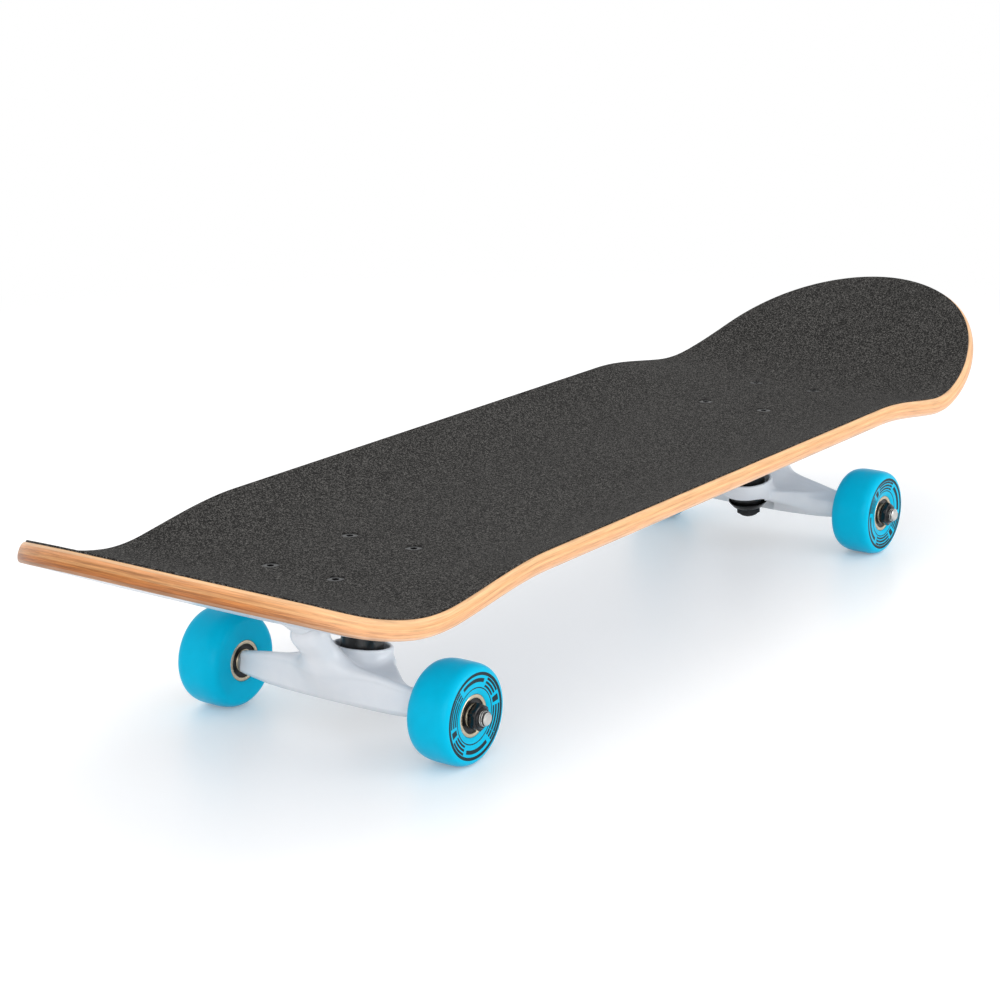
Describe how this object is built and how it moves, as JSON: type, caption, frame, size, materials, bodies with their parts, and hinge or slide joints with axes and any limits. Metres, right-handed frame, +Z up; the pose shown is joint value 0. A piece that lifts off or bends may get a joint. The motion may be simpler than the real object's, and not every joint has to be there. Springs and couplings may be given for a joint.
{
  "type": "skateboard",
  "caption": "Street skateboard: maple deck with griptape, a kick at each end, and a steering truck with two free-rolling wheels under each end.",
  "frame": {"origin": "on the ground, below the middle of the deck", "axes": "+X along the board to the front, +Y to the board's left, +Z up"},
  "size_m": [0.7972, 0.206, 0.139],
  "materials": {
    "maple": "satin lacquer",
    "maple_core": "satin lacquer",
    "blue_stained_maple": "satin lacquer",
    "griptape": "gritty",
    "white_coat": "satin powder coat",
    "black_urethane": "satin",
    "cyan_urethane": "gloss",
    "black_steel": "satin black finish",
    "steel": "plated",
    "bearing_steel": "polished",
    "bearing_shield": "satin"
  },
  "bodies": {
    "board": {"ply_1": "blue_stained_maple", "ply_2": "maple_core", "ply_3": "maple", "ply_4": "maple_core", "ply_5": "maple", "ply_6": "maple_core", "ply_7": "maple", "griptape": "griptape", "front_baseplate": "white_coat", "front_pivot_cup": "black_urethane", "front_kingpin": "steel", "front_kingpin_nut": "black_steel", "front_boardside_bushing": "black_urethane", "front_roadside_bushing": "black_urethane", "front_boardside_washer": "black_steel", "front_roadside_washer": "black_steel", "front_deck_bolts": "black_steel", "front_lock_nuts": "black_steel", "rear_baseplate": "white_coat", "rear_pivot_cup": "black_urethane", "rear_kingpin": "steel", "rear_kingpin_nut": "black_steel", "rear_boardside_bushing": "black_urethane", "rear_roadside_bushing": "black_urethane", "rear_boardside_washer": "black_steel", "rear_roadside_washer": "black_steel", "rear_deck_bolts": "black_steel", "rear_lock_nuts": "black_steel"},
    "front_truck": {"front_hanger": "white_coat", "front_axle": "steel", "front_axle_nuts": "black_steel", "front_speed_washers": "steel", "front_bearing_spacers": "steel", "front_inner_races": "bearing_steel"},
    "rear_truck": {"rear_hanger": "white_coat", "rear_axle": "steel", "rear_axle_nuts": "black_steel", "rear_speed_washers": "steel", "rear_bearing_spacers": "steel", "rear_inner_races": "bearing_steel"},
    "front_left_roller": {"front_left_wheel": "cyan_urethane", "front_left_outer_races": "bearing_steel", "front_left_bearing_shields": "bearing_shield", "front_left_ball_cages": "bearing_steel"},
    "front_right_roller": {"front_right_wheel": "cyan_urethane", "front_right_outer_races": "bearing_steel", "front_right_bearing_shields": "bearing_shield", "front_right_ball_cages": "bearing_steel"},
    "rear_left_roller": {"rear_left_wheel": "cyan_urethane", "rear_left_outer_races": "bearing_steel", "rear_left_bearing_shields": "bearing_shield", "rear_left_ball_cages": "bearing_steel"},
    "rear_right_roller": {"rear_right_wheel": "cyan_urethane", "rear_right_outer_races": "bearing_steel", "rear_right_bearing_shields": "bearing_shield", "rear_right_ball_cages": "bearing_steel"}
  },
  "joints": [
    {"name": "front_steer", "type": "hinge", "parent": "board", "child": "front_truck", "pos_m": [0.1982, 0, 0.033], "axis": [0.788, 0, 0.6157], "range_deg": [-15, 15], "stiffness_Nm_per_rad": 60, "deforming": ["front_boardside_bushing", "front_roadside_bushing"]},
    {"name": "rear_steer", "type": "hinge", "parent": "board", "child": "rear_truck", "pos_m": [-0.1982, 0, 0.033], "axis": [-0.788, 0, 0.6157], "range_deg": [-15, 15], "stiffness_Nm_per_rad": 60, "deforming": ["rear_boardside_bushing", "rear_roadside_bushing"]},
    {"name": "front_left_wheel_spin", "type": "hinge", "parent": "front_truck", "child": "front_left_roller", "pos_m": [0.2185, 0.0732, 0.026], "axis": [0, 1, 0], "continuous": true},
    {"name": "front_right_wheel_spin", "type": "hinge", "parent": "front_truck", "child": "front_right_roller", "pos_m": [0.2185, -0.0732, 0.026], "axis": [0, 1, 0], "continuous": true},
    {"name": "rear_left_wheel_spin", "type": "hinge", "parent": "rear_truck", "child": "rear_left_roller", "pos_m": [-0.2185, 0.0732, 0.026], "axis": [0, 1, 0], "continuous": true},
    {"name": "rear_right_wheel_spin", "type": "hinge", "parent": "rear_truck", "child": "rear_right_roller", "pos_m": [-0.2185, -0.0732, 0.026], "axis": [0, 1, 0], "continuous": true}
  ]
}
